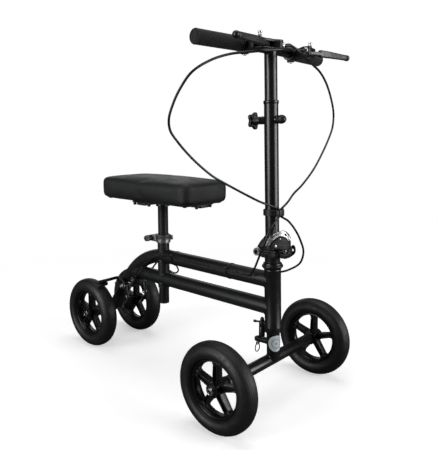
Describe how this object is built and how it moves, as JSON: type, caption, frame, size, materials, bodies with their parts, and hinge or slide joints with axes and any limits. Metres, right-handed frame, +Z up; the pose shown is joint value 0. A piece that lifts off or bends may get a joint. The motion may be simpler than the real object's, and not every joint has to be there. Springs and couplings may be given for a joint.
{
  "type": "knee scooter",
  "caption": "Knee scooter with a padded shin seat on a curved twin-tube frame, steered front wheels, folding height-adjustable column and hand-cable rear brakes.",
  "frame": {"origin": "on the ground under the middle of the bounding box", "axes": "+X forward towards the steered wheels, +Y to the rider's left, +Z up"},
  "size_m": [0.797, 0.5283, 0.832],
  "materials": {
    "charcoal_paint": "satin",
    "black_paint": "gloss",
    "bright_steel": "polished",
    "grey_alloy": "satin",
    "black_plastic": "satin",
    "rim_plastic": "gloss",
    "tyre_rubber": "matte",
    "grip_rubber": "matte",
    "seat_vinyl": "satin",
    "board_wood": "matte"
  },
  "bodies": {
    "frame": {"upper_main_tube": "charcoal_paint", "lower_main_tube": "charcoal_paint", "head_tube": "charcoal_paint", "seat_socket": "charcoal_paint", "rear_axle_beam": "charcoal_paint", "rear_axle_shaft": "bright_steel", "headset_upper": "black_plastic", "headset_lower": "black_plastic", "seat_clamp_collar": "grey_alloy", "seat_clamp_bolt": "bright_steel", "brake_mount": "bright_steel", "steering_lock_barrel": "black_paint", "cable_rear_right": "black_plastic", "cable_rear_left": "black_plastic"},
    "fork": {"front_stem": "black_paint", "front_axle_beam": "black_paint", "front_axle_shaft": "bright_steel", "fold_base": "black_paint", "fold_pivot_bolt": "bright_steel"},
    "column": {"fold_head": "black_paint", "column_outer_tube": "black_paint", "cable_band": "black_plastic", "latch_bolt": "bright_steel", "cable_mid_right": "black_plastic", "cable_mid_left": "black_plastic"},
    "handlebar": {"column_inner_tube": "black_paint", "handlebar_tube": "black_paint", "grip_right": "grip_rubber", "grip_left": "grip_rubber", "lever_perch_right": "black_paint", "lever_perch_left": "black_paint", "cable_upper_left_lever": "black_plastic", "cable_upper_right_lever": "black_plastic"},
    "seat": {"seat_post": "black_paint", "seat_bracket": "black_paint", "seat_board": "board_wood", "seat_pad": "seat_vinyl"},
    "fold_lever": {"fold_lever": "bright_steel", "fold_lever_hub": "black_plastic"},
    "height_knob": {"height_knob": "black_plastic"},
    "height_pin": {"height_pin": "black_plastic"},
    "seat_clamp_lever": {"seat_clamp_lever": "grey_alloy"},
    "steering_lock_pin": {"steering_lock_pin": "black_paint"},
    "steering_lock_ring": {"steering_lock_ring": "black_paint"},
    "wheel_front_right": {"rim_front_right": "rim_plastic", "tyre_front_right": "tyre_rubber"},
    "wheel_front_left": {"rim_front_left": "rim_plastic", "tyre_front_left": "tyre_rubber"},
    "wheel_rear_right": {"rim_rear_right": "rim_plastic", "tyre_rear_right": "tyre_rubber"},
    "wheel_rear_left": {"rim_rear_left": "rim_plastic", "tyre_rear_left": "tyre_rubber"},
    "brake_lever_right": {"brake_lever_right": "grey_alloy"},
    "brake_lever_left": {"brake_lever_left": "grey_alloy"},
    "brake_arm_right": {"brake_arm_right": "black_paint", "brake_shoe_right": "grip_rubber"},
    "brake_arm_left": {"brake_arm_left": "black_paint", "brake_shoe_left": "grip_rubber"},
    "parking_pin_right": {"parking_pin_right": "bright_steel"},
    "parking_pin_left": {"parking_pin_left": "bright_steel"}
  },
  "joints": [
    {"name": "steering", "type": "hinge", "parent": "frame", "child": "fork", "pos_m": [0.29854, 0, 0.24983], "axis": [-0.0366, 0, 0.9993], "range_deg": [-45, 45], "deforming": ["cable_mid_right", "cable_mid_left"]},
    {"name": "column_fold", "type": "hinge", "parent": "fork", "child": "column", "pos_m": [0.26442, 0, 0.36166], "axis": [0, -1, 0], "range_deg": [0, 50], "deforming": ["cable_mid_right", "cable_mid_left"]},
    {"name": "handlebar_height", "type": "slide", "parent": "column", "child": "handlebar", "axis": [-0.0366, 0, 0.9993], "range_m": [-0.05, 0.15], "deforming": ["cable_upper_left_lever", "cable_upper_right_lever"]},
    {"name": "seat_height", "type": "slide", "parent": "frame", "child": "seat", "axis": [0, 0, -1], "range_m": [-0.04, 0.065]},
    {"name": "wheel_front_right_spin", "type": "hinge", "parent": "fork", "child": "wheel_front_right", "pos_m": [0.297, -0.1925, 0.1015], "axis": [0, 1, 0], "continuous": true},
    {"name": "wheel_front_left_spin", "type": "hinge", "parent": "fork", "child": "wheel_front_left", "pos_m": [0.297, 0.1925, 0.1015], "axis": [0, 1, 0], "continuous": true},
    {"name": "wheel_rear_right_spin", "type": "hinge", "parent": "frame", "child": "wheel_rear_right", "pos_m": [-0.297, -0.085, 0.1015], "axis": [0, 1, 0], "continuous": true},
    {"name": "wheel_rear_left_spin", "type": "hinge", "parent": "frame", "child": "wheel_rear_left", "pos_m": [-0.297, 0.085, 0.1015], "axis": [0, 1, 0], "continuous": true},
    {"name": "brake_lever_right_pull", "type": "hinge", "parent": "handlebar", "child": "brake_lever_right", "pos_m": [0.322, -0.082, 0.805], "axis": [0, 0, -1], "range_deg": [0, 20], "stiffness_Nm_per_rad": 0.5, "springref_deg": -11.46},
    {"name": "brake_lever_left_pull", "type": "hinge", "parent": "handlebar", "child": "brake_lever_left", "pos_m": [0.322, 0.082, 0.805], "axis": [0, 0, 1], "range_deg": [0, 20], "stiffness_Nm_per_rad": 0.5, "springref_deg": -11.46},
    {"name": "brake_arm_right_swing", "type": "hinge", "parent": "frame", "child": "brake_arm_right", "pos_m": [-0.205, -0.03, 0.19], "axis": [0, -1, 0], "range_deg": [0, 7]},
    {"name": "brake_arm_left_swing", "type": "hinge", "parent": "frame", "child": "brake_arm_left", "pos_m": [-0.205, 0.03, 0.19], "axis": [0, -1, 0], "range_deg": [0, 7]},
    {"name": "parking_pin_right_press", "type": "slide", "parent": "handlebar", "child": "parking_pin_right", "axis": [0, 0, -1], "range_m": [0, 0.0026], "stiffness_N_per_m": 200, "springref_m": -0.002},
    {"name": "parking_pin_left_press", "type": "slide", "parent": "handlebar", "child": "parking_pin_left", "axis": [0, 0, -1], "range_m": [0, 0.0026], "stiffness_N_per_m": 200, "springref_m": -0.002},
    {"name": "height_knob_turn", "type": "hinge", "parent": "column", "child": "height_knob", "pos_m": [0.24354, 0, 0.65809], "axis": [0.9993, 0, 0.0366], "continuous": true},
    {"name": "height_pin_pull", "type": "slide", "parent": "column", "child": "height_pin", "axis": [0.9993, 0, 0.0366], "range_m": [0, 0.008], "stiffness_N_per_m": 600, "springref_m": -0.003},
    {"name": "fold_lever_open", "type": "hinge", "parent": "column", "child": "fold_lever", "pos_m": [0.32218, -0.02, 0.38279], "axis": [0, 1, 0], "range_deg": [0, 110]},
    {"name": "seat_clamp_lever_open", "type": "hinge", "parent": "frame", "child": "seat_clamp_lever", "pos_m": [-0.109, 0.028, 0.343], "axis": [0, 0, 1], "range_deg": [0, 150]},
    {"name": "steering_lock_drop", "type": "slide", "parent": "frame", "child": "steering_lock_pin", "axis": [0, 0, -1], "range_m": [0, 0.006]},
    {"name": "steering_lock_ring_swing", "type": "hinge", "parent": "fork", "child": "steering_lock_ring", "pos_m": [0.25624, 0, 0.1316], "axis": [0, 1, 0], "range_deg": [-35, 35]}
  ],
  "couplings": [
    {"joint": "brake_arm_left_swing", "follows": "brake_lever_left_pull", "ratio": 0.35},
    {"joint": "brake_arm_right_swing", "follows": "brake_lever_right_pull", "ratio": 0.35}
  ]
}
